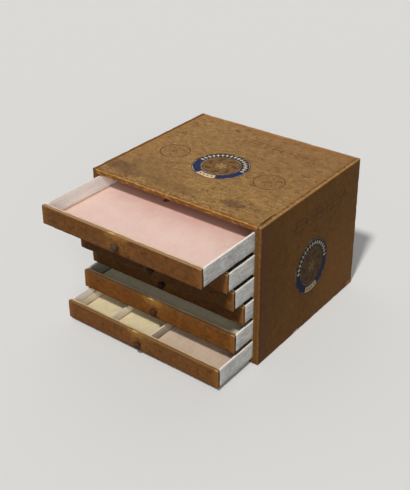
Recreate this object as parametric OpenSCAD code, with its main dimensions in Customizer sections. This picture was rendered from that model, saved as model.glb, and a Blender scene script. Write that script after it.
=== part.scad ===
// Counter cabinet for reels of sewing thread: a paper-covered wooden case with six shallow drawers.
// The origin is the centre of the case's underside. +X is to the right, +Y to the back, +Z up.
// Drawer 1 is the top one. Each drawer slides out along -Y and is drawn pulled out by its own distance.

/* [Case] */
// Width over the two side panels
case_w = 340; // [300:1:400]
// Depth from the front edges to the back board
case_d = 302; // [280:1:360]
// Height over the top and bottom boards
case_h = 250; // [235:1:290]
// Thickness of the side panels
side_t = 10; // [8:0.5:14]
// Thickness of the top board
top_t = 8; // [7:0.5:12]
// Thickness of the bottom board
bottom_t = 6; // [5:0.5:10]
// Thickness of the thin back board
back_t = 5; // [3:0.5:8]
// How far boards are let into the panels that hold them
housing_depth = 3; // [2:0.5:4]
// Rounding of the case's outer edges
case_arris = 1.2; // [0.5:0.1:2]

/* [Runners] */
// Height of a runner strip
runner_h = 7; // [4:0.5:8]
// Width of a runner strip, measured in from the side panel
runner_w = 8; // [6.5:0.5:12]
// Air between a runner and the drawer that slides on it
run_clearance = 0.3; // [0.2:0.1:0.6]
// Air between a runner and the drawer under it
under_gap = 2; // [1.7:0.1:3]
// Air between a closed facing's lip and the runner's front end, which stops it
stop_gap = 0.3; // [0.2:0.1:1]

/* [Drawer boxes] */
// Air beside a drawer, on each side
side_gap = 2; // [1:0.1:3]
// Air between the top drawer and the top board
top_gap = 3; // [0.5:0.1:5]
// Air between the bottom facing and the bottom board
bottom_gap = 0.5; // [0.3:0.1:2]
// Air behind a closed drawer
rear_gap = 7; // [3:0.5:15]
// Thickness of the drawer walls
wall_t = 3.5; // [3:0.5:6]
// Thickness of a side's end that laps over the front or back wall
lap_t = 2; // [1.5:0.1:2.4]
// Thickness of the drawer bottom
floor_t = 2.5; // [2:0.1:4]
// How far the drawer bottom is let into the walls
floor_let = 2; // [1:0.1:2.4]
// Thickness of the lining paper
liner_t = 0.4; // [0.3:0.1:1]
// Air round the lining paper
liner_gap = 0.2; // [0.1:0.1:0.5]

/* [Facings and knobs] */
// Thickness of a drawer facing
facing_t = 5; // [4:0.5:8]
// How far a facing hangs below its box
facing_lip = 2.3; // [1:0.1:3]
// How far a facing stands above its box
facing_rise = 0.7; // [0:0.1:1.5]
// Rounding of a facing's corners, seen from the front
facing_corner = 1.6; // [0.5:0.1:3]
// Rounding of a facing's front edges
facing_arris = 1; // [0.3:0.1:2]
// Diameter of a knob's head
knob_d = 12.5; // [11:0.1:16]
// How far a knob stands out from the facing
knob_reach = 10.5; // [9.5:0.1:14]
// Rounding of the knob's widest edge
knob_rim_r = 1.9; // [1.5:0.1:2.2]
// Diameter of the flange that beds on the facing
knob_flange_d = 9.5; // [8.5:0.1:11]
// Thickness of that flange
knob_flange_t = 1.4; // [1:0.1:2]
// Diameter of the neck at its narrowest
knob_neck_d = 6; // [5:0.1:7]
// Diameter of the spigot that holds the knob
spigot_d = 5; // [4:0.1:6]
// Air round the spigot in its hole
spigot_clearance = 0.1; // [0.05:0.05:0.3]
// How far the knob's axis lies below the middle of the facing
knob_drop = 2; // [0:0.5:6]

/* [Cells of drawer 6] */
// Height of the low partitions above the drawer bottom
partition_h = 16; // [6:0.5:22]
// Thickness of the strip against the left wall
left_partition_t = 2.5; // [1.5:0.5:5]
// Thickness of the other two partitions
partition_t = 2; // [1.5:0.5:4]
// Width of the left cell
left_cell_w = 72.5; // [40:0.5:100]
// Width of the middle cell
middle_cell_w = 83.5; // [40:0.5:100]

/* [Paper labels] */
// Diameter of the round labels
label_d = 100; // [60:1:120]
// Thickness of a label
label_t = 0.3; // [0.2:0.1:1]
// The top label's centre, measured from the left side of the case
top_label_x = 167.5; // [120:0.5:200]
// The top label's centre, measured from the front of the case
top_label_y = 134.5; // [80:0.5:200]
// The side label's centre, measured from the front of the case
side_label_y = 153.5; // [80:0.5:200]
// The side label's centre, measured from the underside of the case
side_label_z = 109.5; // [80:0.5:160]

/* [How far each drawer is pulled out] */
// Drawer 1, the top one
drawer_1_open = 127.5; // [0:0.5:200]
// Drawer 2
drawer_2_open = 67; // [0:0.5:200]
// Drawer 3
drawer_3_open = 50.5; // [0:0.5:200]
// Drawer 4
drawer_4_open = 24.5; // [0:0.5:200]
// Drawer 5
drawer_5_open = 47.5; // [0:0.5:200]
// Drawer 6, the bottom one
drawer_6_open = 89; // [0:0.5:200]

/* [Hidden] */
$fn = 64;
drawer_count = 6;
drawer_pieces = ["facing", "front", "left_side", "right_side", "back", "bottom", "liner", "knob"];

// Case: the clear space inside, and the boards that are let into the side panels
front_y = -case_d / 2;
inner_w = case_w - 2 * side_t;
let_in_w = inner_w + 2 * housing_depth;
back_board_y = case_d / 2 - back_t;
cut = 1;  // how far a cutting shape runs past the face that it opens

// Drawers: heights come from the clear height of the case, widths and depths from its clear plan
facing_gap = run_clearance + runner_h + under_gap - facing_lip - facing_rise;
facing_stack_h = case_h - top_t - bottom_t - top_gap - bottom_gap;
facing_h = (facing_stack_h - (drawer_count - 1) * facing_gap) / drawer_count;
drawer_w = inner_w - 2 * side_gap;
box_d = case_d - back_t - facing_t - rear_gap;
box_h = facing_h - facing_lip - facing_rise;
box_inner_w = drawer_w - 2 * wall_t;
box_inner_d = box_d - 2 * wall_t;
floor_top = facing_lip + floor_t;
pulled_out = [drawer_1_open, drawer_2_open, drawer_3_open, drawer_4_open, drawer_5_open, drawer_6_open];

function facing_z(k) = bottom_t + bottom_gap + (drawer_count - k) * (facing_h + facing_gap);

// Runners: strips under drawers 1 to 5, and thinner ones on the bottom board under drawer 6
runner_front_y = front_y + facing_t + stop_gap;
runner_length = back_board_y - runner_front_y;
floor_runner_h = bottom_gap + facing_lip - run_clearance;

// Knob: the dome is a circle that runs smoothly into the rounded rim
knob_head_r = knob_d / 2;
rim_centre_r = knob_head_r - knob_rim_r;
dome_rise = 1.5;
rim_height = knob_reach - dome_rise - knob_rim_r;
dome_drop = (rim_centre_r * rim_centre_r - dome_rise * dome_rise) / (2 * dome_rise);
dome_r = knob_reach - rim_height + dome_drop;
head_start = rim_height - knob_rim_r;
spigot_end = facing_t + wall_t;

// Cells: where the partitions of drawer 6 stand, from the left wall
cell_left = -box_inner_w / 2;
middle_partition_x = cell_left + left_partition_t + left_cell_w;
right_partition_x = middle_partition_x + partition_t + middle_cell_w;

// ---- shared shapes ----

module rounded_rectangle(w, h, r) {
    square([w - 2 * r, h], center = true);
    square([w, h - 2 * r], center = true);
    for (x = [-1, 1], y = [-1, 1])
        translate([x * (w / 2 - r), y * (h / 2 - r)]) circle(r = r);
}

module case_envelope() {
    intersection() {
        linear_extrude(case_h)
            rounded_rectangle(case_w, case_d, case_arris);
        translate([0, case_d / 2, case_h / 2]) rotate([90, 0, 0]) linear_extrude(case_d)
            rounded_rectangle(case_w, case_h, case_arris);
        translate([-case_w / 2, 0, case_h / 2]) rotate([90, 0, 90]) linear_extrude(case_w)
            rounded_rectangle(case_d, case_h, case_arris);
    }
}

module in_drawer(k) {
    translate([0, front_y - pulled_out[k - 1], facing_z(k)]) children();
}

// ---- case ----

module side_panel() {
    housing_x = inner_w / 2 - cut;
    housing_w = housing_depth + cut;
    intersection() {
        case_envelope();
        difference() {
            translate([inner_w / 2, front_y, 0]) cube([side_t, case_d, case_h]);
            translate([housing_x, front_y - cut, case_h - top_t])
                cube([housing_w, case_d + 2 * cut, top_t + cut]);
            translate([housing_x, front_y - cut, -cut])
                cube([housing_w, case_d + 2 * cut, bottom_t + cut]);
            translate([housing_x, back_board_y, 0])
                cube([housing_w, back_t + cut, case_h]);
        }
    }
}

module case_right_side() {
    color([0.33, 0.23, 0.13]) side_panel();
}

module case_left_side() {
    color([0.45, 0.32, 0.18]) mirror([1, 0, 0]) side_panel();
}

module back_rebate(z) {
    translate([-case_w / 2, back_board_y, z]) cube([case_w, back_t + cut, housing_depth]);
}

module case_top() {
    color([0.55, 0.41, 0.24])
        intersection() {
            case_envelope();
            difference() {
                translate([-let_in_w / 2, front_y, case_h - top_t]) cube([let_in_w, case_d, top_t]);
                back_rebate(case_h - top_t);
            }
        }
}

module case_bottom() {
    color([0.50, 0.38, 0.24])
        intersection() {
            case_envelope();
            difference() {
                translate([-let_in_w / 2, front_y, 0]) cube([let_in_w, case_d, bottom_t]);
                back_rebate(bottom_t - housing_depth);
            }
        }
}

module case_back() {
    back_h = case_h - top_t - bottom_t + 2 * housing_depth;
    color([0.48, 0.35, 0.20])
        translate([-let_in_w / 2, back_board_y, bottom_t - housing_depth]) cube([let_in_w, back_t, back_h]);
}

module runner_strips() {
    runner_x = inner_w / 2 - runner_w;
    color([0.80, 0.68, 0.48]) {
        for (k = [1:drawer_count - 1])
            translate([runner_x, runner_front_y, facing_z(k) + facing_lip - run_clearance - runner_h])
                cube([runner_w, runner_length, runner_h]);
        translate([runner_x, runner_front_y, bottom_t]) cube([runner_w, runner_length, floor_runner_h]);
    }
}

module right_runners() {
    runner_strips();
}

module left_runners() {
    mirror([1, 0, 0]) runner_strips();
}

// ---- drawers ----

module knob_axis() {
    translate([0, 0, facing_h / 2 - knob_drop]) rotate([90, 0, 0]) children();
}

module knob_hole() {
    knob_axis() translate([0, 0, -spigot_end - cut])
        cylinder(d = spigot_d + 2 * spigot_clearance, h = spigot_end + 2 * cut);
}

module drawer_facing(k) {
    color([0.47, 0.32, 0.18]) in_drawer(k) difference() {
        intersection() {
            translate([0, facing_t, facing_h / 2]) rotate([90, 0, 0]) linear_extrude(facing_t)
                rounded_rectangle(drawer_w, facing_h, facing_corner);
            translate([0, facing_t, 0]) linear_extrude(facing_h)
                rounded_rectangle(drawer_w, 2 * facing_t, facing_arris);
            translate([-drawer_w / 2, facing_t, facing_h / 2]) rotate([90, 0, 90]) linear_extrude(drawer_w)
                rounded_rectangle(2 * facing_t, facing_h, facing_arris);
        }
        knob_hole();
    }
}

// A front or back wall, its lower inner edge rebated for the drawer bottom
module end_wall() {
    wall_w = drawer_w - 2 * lap_t;
    difference() {
        translate([-wall_w / 2, 0, facing_lip]) cube([wall_w, wall_t, box_h]);
        translate([-drawer_w / 2, wall_t - floor_let, facing_lip - cut])
            cube([drawer_w, floor_let + cut, floor_t + cut]);
    }
}

module drawer_front(k) {
    color([0.85, 0.76, 0.64]) in_drawer(k) difference() {
        translate([0, facing_t, 0]) end_wall();
        knob_hole();
    }
}

module drawer_back(k) {
    color([0.86, 0.84, 0.80]) in_drawer(k)
        translate([0, facing_t + box_d, 0]) rotate([0, 0, 180]) end_wall();
}

// A side wall, both ends rebated for the end walls and the lower inner edge for the drawer bottom
module side_wall() {
    inner_x = box_inner_w / 2;
    lap_cut_w = wall_t - lap_t + cut;
    difference() {
        translate([inner_x, facing_t, facing_lip]) cube([wall_t, box_d, box_h]);
        for (y = [facing_t - cut, facing_t + box_d - wall_t])
            translate([inner_x - cut, y, facing_lip - cut]) cube([lap_cut_w, wall_t + cut, box_h + 2 * cut]);
        translate([inner_x - cut, facing_t + wall_t - floor_let, facing_lip - cut])
            cube([floor_let + cut, box_inner_d + 2 * floor_let, floor_t + cut]);
    }
}

module drawer_right_side(k) {
    color([0.90, 0.88, 0.85]) in_drawer(k) side_wall();
}

module drawer_left_side(k) {
    color([0.90, 0.88, 0.85]) in_drawer(k) mirror([1, 0, 0]) side_wall();
}

module drawer_bottom(k) {
    color([0.70, 0.62, 0.50]) in_drawer(k)
        translate([-box_inner_w / 2 - floor_let, facing_t + wall_t - floor_let, facing_lip])
            cube([box_inner_w + 2 * floor_let, box_inner_d + 2 * floor_let, floor_t]);
}

module lining_paper(left, right) {
    translate([left + liner_gap, facing_t + wall_t + liner_gap, floor_top])
        cube([right - left - 2 * liner_gap, box_inner_d - 2 * liner_gap, liner_t]);
}

liner_colours = [
    [0.90, 0.77, 0.71], [0.66, 0.62, 0.52], [0.66, 0.62, 0.52],
    [0.66, 0.62, 0.52], [0.55, 0.52, 0.44], [0.85, 0.78, 0.62]
];

module drawer_liner(k) {
    color(liner_colours[k - 1]) in_drawer(k)
        if (k < drawer_count) {
            lining_paper(cell_left, -cell_left);
        } else {
            lining_paper(cell_left + left_partition_t, middle_partition_x);
            lining_paper(middle_partition_x + partition_t, right_partition_x);
            lining_paper(right_partition_x + partition_t, -cell_left);
        }
}

// A turned knob: flange, coved neck, domed head, and a spigot through the facing and front wall
module knob_outline() {
    neck_r = knob_neck_d / 2;
    neck_h = head_start - knob_flange_t;
    cove_r = neck_h * 0.6;
    tangent = dome_r / (dome_r - knob_rim_r);
    translate([0, -spigot_end]) square([spigot_d / 2, spigot_end + cut]);
    square([knob_flange_d / 2, knob_flange_t]);
    difference() {
        square([knob_flange_d / 2, head_start + knob_rim_r]);
        translate([neck_r + cove_r, knob_flange_t + neck_h / 2]) circle(r = cove_r);
    }
    translate([rim_centre_r, rim_height]) circle(r = knob_rim_r);
    translate([0, head_start]) square([rim_centre_r, knob_rim_r]);
    intersection() {
        translate([0, rim_height - dome_drop]) circle(r = dome_r);
        polygon([
            [0, rim_height - cut],
            [rim_centre_r, rim_height - cut],
            [rim_centre_r, rim_height],
            [rim_centre_r * tangent, rim_height - dome_drop + dome_drop * tangent],
            [rim_centre_r * tangent, knob_reach],
            [0, knob_reach]
        ]);
    }
}

module drawer_knob(k) {
    color([0.22, 0.15, 0.11]) in_drawer(k) knob_axis() rotate_extrude() knob_outline();
}

module partition(x, thickness) {
    color([0.76, 0.71, 0.62]) in_drawer(drawer_count)
        translate([x, facing_t + wall_t, floor_top]) cube([thickness, box_inner_d, partition_h]);
}

// ---- labels ----

module label_top() {
    color([0.16, 0.18, 0.33])
        translate([top_label_x - case_w / 2, front_y + top_label_y, case_h]) cylinder(d = label_d, h = label_t);
}

module label_side() {
    color([0.16, 0.18, 0.33])
        translate([case_w / 2, front_y + side_label_y, side_label_z]) rotate([0, 90, 0])
            cylinder(d = label_d, h = label_t);
}

case_top();
case_bottom();
case_left_side();
case_right_side();
case_back();
left_runners();
right_runners();
for (k = [1:drawer_count]) {
    drawer = str("drawer_", k, "_");
    drawer_facing(k);
    drawer_front(k);
    drawer_left_side(k);
    drawer_right_side(k);
    drawer_back(k);
    drawer_bottom(k);
    drawer_liner(k);
    drawer_knob(k);
}
partition(cell_left, left_partition_t);  // drawer_6_left_partition
partition(middle_partition_x, partition_t);  // drawer_6_middle_partition
partition(right_partition_x, partition_t);  // drawer_6_right_partition
label_top();
label_side();
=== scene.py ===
# A counter cabinet for reels of sewing thread: a paper-covered wooden case and six shallow drawers.
# Lengths are in metres unless a name ends in _mm. The frame holds every piece at its real size and place.
from math import cos, hypot, pi, radians, sin, sqrt, tau

import bmesh
import bpy
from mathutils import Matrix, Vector, noise


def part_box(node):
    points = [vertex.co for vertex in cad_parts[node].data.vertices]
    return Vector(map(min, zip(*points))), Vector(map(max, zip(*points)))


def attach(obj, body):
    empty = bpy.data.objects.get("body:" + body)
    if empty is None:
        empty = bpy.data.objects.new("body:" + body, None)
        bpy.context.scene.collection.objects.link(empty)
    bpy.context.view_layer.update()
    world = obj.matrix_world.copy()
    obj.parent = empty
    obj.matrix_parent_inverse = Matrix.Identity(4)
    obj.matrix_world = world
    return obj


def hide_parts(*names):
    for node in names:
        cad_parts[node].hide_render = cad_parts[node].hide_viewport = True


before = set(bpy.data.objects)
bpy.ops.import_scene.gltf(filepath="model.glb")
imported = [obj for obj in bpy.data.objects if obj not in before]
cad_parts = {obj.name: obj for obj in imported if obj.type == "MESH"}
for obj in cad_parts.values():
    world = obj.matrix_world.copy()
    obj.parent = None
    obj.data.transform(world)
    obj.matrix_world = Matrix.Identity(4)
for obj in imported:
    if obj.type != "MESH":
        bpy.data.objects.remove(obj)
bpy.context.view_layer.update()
mm = 0.001

# ---- Camera ----
# It stands in front of the cabinet to its right, a little over a metre away, and looks down on the open drawers.
lens_data = bpy.data.cameras.new("camera")
lens_data.lens = 65.14
lens_data.sensor_width = 36
lens_data.shift_x = -0.021
lens_data.shift_y = -0.1531
camera = bpy.data.objects.new("camera", lens_data)
camera.location = (0.7932, -1.0935, 0.8941)
camera.rotation_euler = (radians(90 - 25.94), 0, radians(36.87))
bpy.context.scene.collection.objects.link(camera)
bpy.context.scene.camera = camera


# ---- Floor and light ----
# A plain pale studio floor. The main lamp stands above the front, a weaker one at the front right, and a very
# broad one behind the left lightens the sides that the others leave dark.
def fill(tree, node, values):
    """Fills a node's inputs, each with a number or a socket, and returns its outputs."""
    for name, value in dict(values).items():
        if isinstance(value, bpy.types.NodeSocket):
            tree.links.new(value, node.inputs[name])
        else:
            node.inputs[name].default_value = value
    return node.outputs


def add(tree, kind, values=(), **settings):
    """Adds a node and returns its outputs. Settings are its own properties, values fill its inputs."""
    made = tree.nodes.new(kind)
    for name, value in settings.items():
        setattr(made, name, value)
    return fill(tree, made, values)


def maths(tree, operation, a, b=0, c=0):
    return add(tree, "ShaderNodeMath", {0: a, 1: b, 2: c}, operation=operation)[0]


def mixed(tree, share, a, b):
    return add(tree, "ShaderNodeMix", {0: share, 6: a, 7: b}, data_type="RGBA")[2]


def colour(red, green, blue):
    """A colour as it looks on a screen, 0 to 255, turned into the linear values that a shader takes."""
    shares = [v / 255 for v in (red, green, blue)]
    return tuple(s / 12.92 if s <= 0.04045 else ((s + 0.055) / 1.055) ** 2.4 for s in shares) + (1,)


def new_material(name, roughness=0.6, specular=0.05):
    """Returns a material, its node tree and its Principled shader."""
    made = bpy.data.materials.new(name)
    made.use_nodes = True
    shader = made.node_tree.nodes["Principled BSDF"]
    shader.inputs["Roughness"].default_value = roughness
    shader.inputs["Specular IOR Level"].default_value = specular
    return made, made.node_tree, shader


def new_object(name, mesh, *materials):
    for material in materials:
        mesh.materials.append(material)
    made = bpy.data.objects.new(name, mesh)
    bpy.context.scene.collection.objects.link(made)
    return made


def background_ray(tree):
    """1 for a ray that shows the background: one from the camera, or reflected or let through by a piece."""
    path = add(tree, "ShaderNodeLightPath")
    seen = maths(tree, "MAXIMUM", path["Is Camera Ray"], path["Is Glossy Ray"])
    return maths(tree, "MAXIMUM", seen, path["Is Transmission Ray"])


floor_reach = 6
floor_material, tree, shader = new_material("studio_floor", 0.9, 0.2)
floor_colour = mixed(tree, background_ray(tree), colour(120, 119, 117), colour(213, 212, 209))
fill(tree, shader, {"Base Color": floor_colour})
floor_mesh = bpy.data.meshes.new("floor")
corners = [(x * floor_reach, y * floor_reach, 0) for x, y in ((-1, -1), (1, -1), (1, 1), (-1, 1))]
floor_mesh.from_pydata(corners, [], [(0, 1, 2, 3)])
new_object("floor", floor_mesh, floor_material)

world = bpy.data.worlds.new("studio")
bpy.context.scene.world = world
world.use_nodes = True
tree = world.node_tree
world_colour = mixed(tree, background_ray(tree), (0.12, 0.12, 0.125, 1), colour(221, 220, 218))
fill(tree, tree.nodes["Background"], {"Color": world_colour})


def lamp(name, azimuth, elevation, strength, spread):
    """A broad distant lamp. Azimuth counts to the right from straight in front, all angles in degrees."""
    data = bpy.data.lights.new(name, "SUN")
    data.energy = strength
    data.angle = radians(spread)
    made = bpy.data.objects.new(name, data)
    made.rotation_euler = (radians(90 - elevation), 0, radians(azimuth))
    bpy.context.scene.collection.objects.link(made)


lamp("key_lamp", azimuth=15, elevation=54, strength=2.6, spread=5)
lamp("fill_lamp", azimuth=40, elevation=27, strength=1.1, spread=32)
lamp("rear_lamp", azimuth=-125, elevation=38, strength=0.5, spread=100)
bpy.context.scene.view_settings.view_transform = "Standard"

# ---- Case ----
# Five thin boards, housed into each other and glued. Outside and on their front edges they are covered in
# varnished paper printed like burr wood, which hands and drawers have rubbed through to the ochre board.
FLOAT, VECTOR, COLOUR = "NodeSocketFloat", "NodeSocketVector", "NodeSocketColor"


def new_group(name, inputs, outputs):
    """A shader group: its tree, its inputs' sockets and its output node. Inputs map a name to its value, outputs
    map a name to its socket type."""
    made = bpy.data.node_groups.new(name, "ShaderNodeTree")
    for key, value in inputs.items():
        kind = FLOAT if isinstance(value, float) else VECTOR if len(value) == 3 else COLOUR
        made.interface.new_socket(key, in_out="INPUT", socket_type=kind).default_value = value
    for key, kind in outputs.items():
        made.interface.new_socket(key, in_out="OUTPUT", socket_type=kind)
    return made, add(made, "NodeGroupInput"), made.nodes.new("NodeGroupOutput")


def use(tree, group, **values):
    """Places a group in a tree, its inputs given by name."""
    return add(tree, "ShaderNodeGroup", values, node_tree=bpy.data.node_groups[group])


def times(tree, a, b):
    return maths(tree, "MULTIPLY", a, b)


def less(tree, a, b):
    return maths(tree, "SUBTRACT", a, b)


def times_plus(tree, a, b, c):
    return maths(tree, "MULTIPLY_ADD", a, b, c)


def largest(tree, first, *others):
    for other in others:
        first = maths(tree, "MAXIMUM", first, other)
    return first


def vectors(tree, operation, a, b=(0, 0, 0), c=(0, 0, 0), scale=1):
    """Vector maths. Returns both outputs: the vector, and the value that a length gives."""
    return add(tree, "ShaderNodeVectorMath", {0: a, 1: b, 2: c, 3: scale}, operation=operation)


def place_mm(tree, shift=0.0, stretch=(1.0, 1.0, 1.0)):
    """The point on the piece in millimetres. Shift, a number or a socket, moves a pattern along."""
    point = add(tree, "ShaderNodeTexCoord")["Object"]
    point = vectors(tree, "SCALE", point, scale=1000)[0]
    moved = add(tree, "ShaderNodeCombineXYZ", {0: shift, 1: shift, 2: shift})[0]
    return vectors(tree, "MULTIPLY_ADD", point, stretch, moved)[0]


def split_place(tree):
    """The x, y and z of the point on the piece in millimetres."""
    return add(tree, "ShaderNodeSeparateXYZ", {0: place_mm(tree)})


def cloudy(tree, where, size_mm, detail=3, roughness=0.55):
    """Smooth noise with patches about size_mm across, from 0 to 1 around 0.5."""
    scale = maths(tree, "DIVIDE", 1, size_mm) if isinstance(size_mm, bpy.types.NodeSocket) else 1 / size_mm
    values = {"Vector": where, "Scale": scale, "Detail": detail, "Roughness": roughness}
    return add(tree, "ShaderNodeTexNoise", values)[0]


def rise(tree, value, low, high):
    """0 up to low and 1 from high, smooth between them."""
    values = {"Value": value, "From Min": low, "From Max": high}
    return add(tree, "ShaderNodeMapRange", values, interpolation_type="SMOOTHSTEP")[0]


def fall(tree, value, low, high):
    """1 up to low and 0 from high, smooth between them."""
    return less(tree, 1, rise(tree, value, low, high))


def coat(tree, shader, base, height, depth_mm, strength=0.5, **more):
    """Gives a material its colour and its fine relief, and more of the shader's inputs by name."""
    values = {"Strength": strength, "Distance": depth_mm * mm, "Height": height}
    fill(tree, shader, {"Base Color": base, "Normal": add(tree, "ShaderNodeBump", values)[0], **more})


def dimmed(share, tint):
    """A linear colour, darkened to a share of its light."""
    return tuple(share * c for c in tint[:3]) + (1,)


def box_of(node):
    low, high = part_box(node)
    return Vector(low), Vector(high)


tree, given, result = new_group(
    "distance_to_edge", {"Centre": (0, 0, 0), "Half": (1, 1, 1)}, {"Millimetres": FLOAT})
off = vectors(tree, "SUBTRACT", add(tree, "ShaderNodeTexCoord")["Object"], given["Centre"])[0]
depth = vectors(tree, "SUBTRACT", given["Half"], vectors(tree, "ABSOLUTE", off)[0])[0]
x, y, z = add(tree, "ShaderNodeSeparateXYZ", {0: depth})
# Two of a point's three depths in a board are nothing on an edge, so the middle one says how near an edge is.
lesser, greater = (maths(tree, operation, x, y) for operation in ("MINIMUM", "MAXIMUM"))
second = largest(tree, lesser, maths(tree, "MINIMUM", greater, z))
fill(tree, result, {"Millimetres": times(tree, second, 1000)})


def edge_distance(tree, box):
    """How far in millimetres a point is from the nearest edge of the board that fills box."""
    low, high = box
    return use(tree, "distance_to_edge", Centre=(low + high) / 2, Half=(high - low) / 2)["Millimetres"]


tree, given, result = new_group(
    "soft_patch",
    {"Centre": (0, 0, 0), "Size": (10, 10, 10), "Soft": 0.4, "Ragged": 0.8, "Grain": 6.0, "Broken": 0.0},
    {"Mask": FLOAT})
off = vectors(tree, "SUBTRACT", add(tree, "ShaderNodeTexCoord")["Object"], given["Centre"])[0]
off = vectors(tree, "DIVIDE", vectors(tree, "SCALE", off, scale=1000)[0], given["Size"])[0]
away = vectors(tree, "LENGTH", off)["Value"]
ragged = less(tree, cloudy(tree, place_mm(tree), given["Grain"], 4, 0.6), 0.5)
away = times_plus(tree, ragged, times(tree, given["Ragged"], 2), away)
mask = fall(tree, away, less(tree, 1, given["Soft"]), maths(tree, "ADD", 1, given["Soft"]))
crumbs = rise(tree, cloudy(tree, place_mm(tree, 40), times(tree, given["Grain"], 0.4), 2), 0.53, 0.6)
kept = times_plus(tree, given["Broken"], less(tree, crumbs, 1), 1)
fill(tree, result, {"Mask": times(tree, mask, kept)})


def patched(tree, base, patches):
    """Lays soft patches over a colour: rubs, stains and worn places. Each is its place, size_mm, colour, share,
    softness, raggedness and grain_mm, and how far it is broken into crumbs."""
    for place, size_mm, tint, share, soft, ragged, grain_mm, broken in patches:
        mask = use(tree, "soft_patch", Centre=place, Size=size_mm, Soft=soft, Ragged=ragged, Grain=grain_mm,
                   Broken=broken)["Mask"]
        base = mixed(tree, times(tree, mask, share), base, colour(*tint))
    return base


tree, given, result = new_group(
    "burr_print",
    {"Light": colour(172, 136, 84), "Middle": colour(138, 104, 62), "Dark": colour(92, 63, 36),
     "Warm": colour(150, 90, 42), "Warmth": 0.4, "Shift": 0.0, "Fineness": 1.0},
    {"Color": COLOUR, "Height": FLOAT})
point = place_mm(tree, given["Shift"])
swirl = add(tree, "ShaderNodeTexNoise", {"Vector": point, "Scale": 1 / 14, "Detail": 2})[1]
swirled = vectors(tree, "MULTIPLY_ADD", swirl, (16, 16, 16), point)[0]
drawn = vectors(tree, "MULTIPLY", swirled, (0.22, 1, 1))[0]
fine = cloudy(tree, point, 1.3, 3, 0.7)
cells = add(tree, "ShaderNodeTexVoronoi", {"Vector": swirled, "Scale": 1 / 6.5}, feature="DISTANCE_TO_EDGE")[0]
veins = fall(tree, cells, 0, 0.16)
detail = times_plus(tree, veins, -0.1, 0.03)
for layer, weight in (
        (fine, 0.6), (cloudy(tree, swirled, 3.4, 2, 0.5), 0.9), (cloudy(tree, drawn, 3.6, 2, 0.5), 1.3)):
    detail = times_plus(tree, less(tree, layer, 0.5), weight, detail)
tone = times_plus(tree, detail, given["Fineness"], 0.5)
for size_mm, weight in ((9, 0.9), (17, 0.35), (55, 0.14)):
    tone = times_plus(tree, less(tree, cloudy(tree, swirled, size_mm, 3, 0.6), 0.5), weight, tone)
base = mixed(tree, rise(tree, tone, 0.12, 0.5), given["Dark"], given["Middle"])
base = mixed(tree, rise(tree, tone, 0.48, 0.95), base, given["Light"])
warm = rise(tree, cloudy(tree, point, 12, 3, 0.65), 0.48, 0.72)
base = mixed(tree, times(tree, warm, given["Warmth"]), base, given["Warm"])
fill(tree, result, {"Color": base, "Height": times_plus(tree, veins, -0.5, fine)})

tree, given, result = new_group(
    "bare_wood", {"Light": colour(176, 140, 96), "Dark": colour(128, 94, 60), "Along": (0.06, 1, 1), "Shift": 0.0},
    {"Color": COLOUR, "Height": FLOAT})
point = vectors(tree, "MULTIPLY", place_mm(tree, given["Shift"]), given["Along"])[0]
fibres = cloudy(tree, point, 0.9, 4, 0.7)
tone = times_plus(tree, cloudy(tree, point, 7, 3, 0.6), 0.9, times(tree, fibres, 0.7))
base = mixed(tree, rise(tree, tone, 0.5, 1.1), given["Dark"], given["Light"])
fill(tree, result, {"Color": base, "Height": fibres})


def bare_wood(name, roughness, light, dark, along, depth_mm, shift=0, patches=()):
    """Planed wood. Along scales its pattern on each axis: a small number draws the fibres out that way."""
    made, tree, shader = new_material(name, roughness)
    wood = use(tree, "bare_wood", Light=colour(*light), Dark=colour(*dark), Along=along, Shift=shift)
    coat(tree, shader, patched(tree, wood["Color"], patches), wood["Height"], depth_mm)
    return made


def covering_paper(name, box, tones, board, wear_mm, shift, warmth, fineness, patches, ink=None):
    """Printed paper on a board that fills box. It has gone within about wear_mm of the edges and shows the board."""
    light, middle, dark, warm = tones
    made, tree, shader = new_material(name)
    near = edge_distance(tree, box)
    paper = use(tree, "burr_print", Light=light, Middle=middle, Dark=dark, Warm=warm, Warmth=warmth,
                Shift=shift, Fineness=fineness)
    base = ink(tree, paper["Color"]) if ink else paper["Color"]
    point = place_mm(tree, shift)
    reach = times_plus(tree, cloudy(tree, point, 8, 5, 0.7), -6 * wear_mm, 3.6 * wear_mm)
    gone = fall(tree, less(tree, near, reach), -0.3, 0.35)
    rubbed = times(tree, fall(tree, near, 0, 8 * wear_mm), cloudy(tree, point, 4, 3))
    bare = mixed(tree, rise(tree, cloudy(tree, point, 3, 4, 0.7), 0.35, 0.7), dimmed(0.55, board), board)
    base = mixed(tree, times(tree, rubbed, 0.8), base, board)
    base = patched(tree, mixed(tree, gone, base, bare), patches)
    sheen = times_plus(tree, gone, 0.25, times_plus(tree, cloudy(tree, point, 14, 3), 0.3, 0.4))
    coat(tree, shader, base, times_plus(tree, gone, -1.2, paper["Height"]), 0.25, Roughness=sheen)
    return made


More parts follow.
